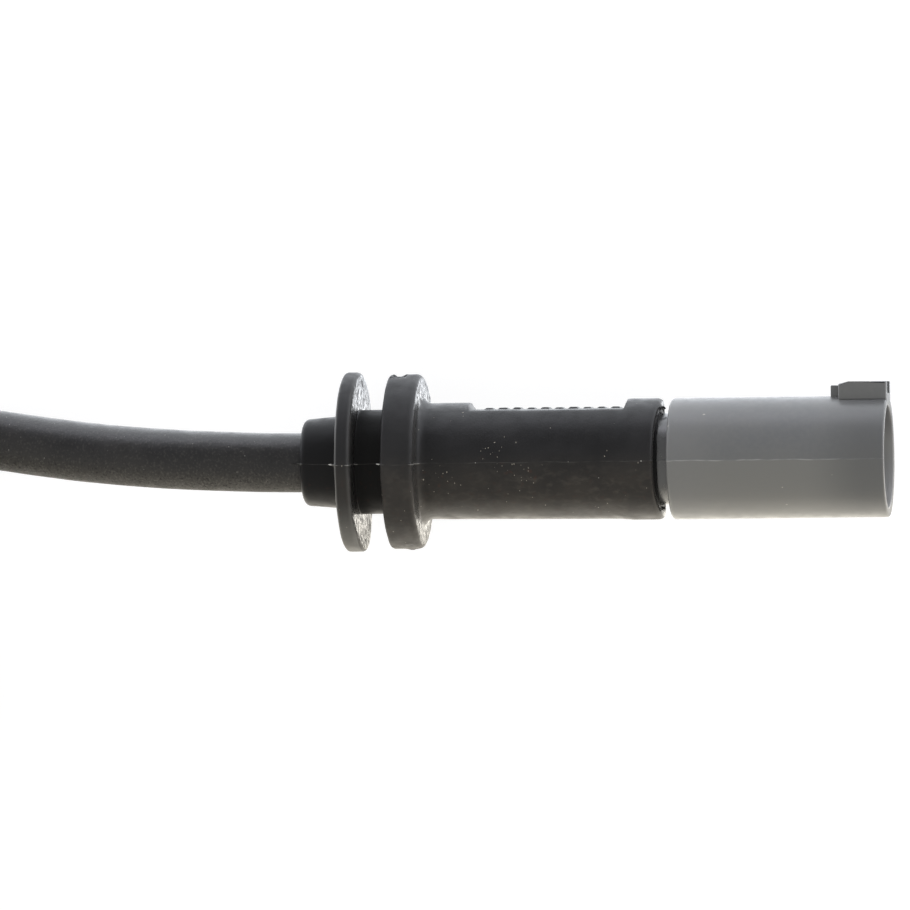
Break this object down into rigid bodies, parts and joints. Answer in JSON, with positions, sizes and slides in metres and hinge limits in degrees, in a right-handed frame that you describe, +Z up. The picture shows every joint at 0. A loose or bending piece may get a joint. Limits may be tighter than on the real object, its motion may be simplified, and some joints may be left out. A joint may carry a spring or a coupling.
{
  "type": "brake pad wear sensor",
  "caption": "Brake pad wear sensor: round plug in a rubber grommet boot, coiled cable with a storage tie, and a clipped sensing head with a wire loop in its tip.",
  "frame": {"origin": "centre of the terminal tower's front face, inside the plug's mouth", "axes": "+X along the plug's axis, out of its mouth; +Y towards the locking rails; +Z up from the surface that the part lies on"},
  "size_m": [0.1633, 0.0708, 0.0176],
  "materials": {
    "grey_plastic": "mid grey moulded plastic, satin, with a fine parting line",
    "black_rubber": "black moulded rubber with light scuffs, specks and flash along its parting line",
    "black_jacket": "matt grainy cable jacket",
    "black_plastic": "black insulating plastic",
    "white_plastic": "natural white plastic",
    "head_plastic": "black glass-filled plastic",
    "tie_plastic": "black nylon",
    "orange_silicone": "orange silicone",
    "tinned_brass": "tin-plated",
    "copper": "bare copper wire",
    "spring_steel": "stainless spring strip",
    "brown_wire": "brown wire insulation",
    "yellow_wire": "yellow wire insulation"
  },
  "bodies": {
    "root": {"connector_shell": "grey_plastic", "terminal_carrier": "black_plastic", "carrier_retainer": "white_plastic", "interface_seal": "orange_silicone", "terminal_left": "tinned_brass", "terminal_right": "tinned_brass", "wire_seal_left": "orange_silicone", "wire_seal_right": "orange_silicone", "wire_left": "brown_wire", "wire_right": "yellow_wire", "cable_end_in_boot": "black_jacket", "rubber_boot": "black_rubber", "cable_run": "black_jacket", "cable_coil": "black_jacket", "storage_tie": "tie_plastic", "head_strain_relief": "black_rubber", "cable_end_in_head": "black_jacket", "head_body": "head_plastic", "head_cover": "head_plastic", "head_clip": "spring_steel", "head_wire_left": "brown_wire", "head_wire_right": "yellow_wire", "splice_left": "tinned_brass", "splice_right": "tinned_brass", "wear_loop": "copper"}
  },
  "joints": []
}
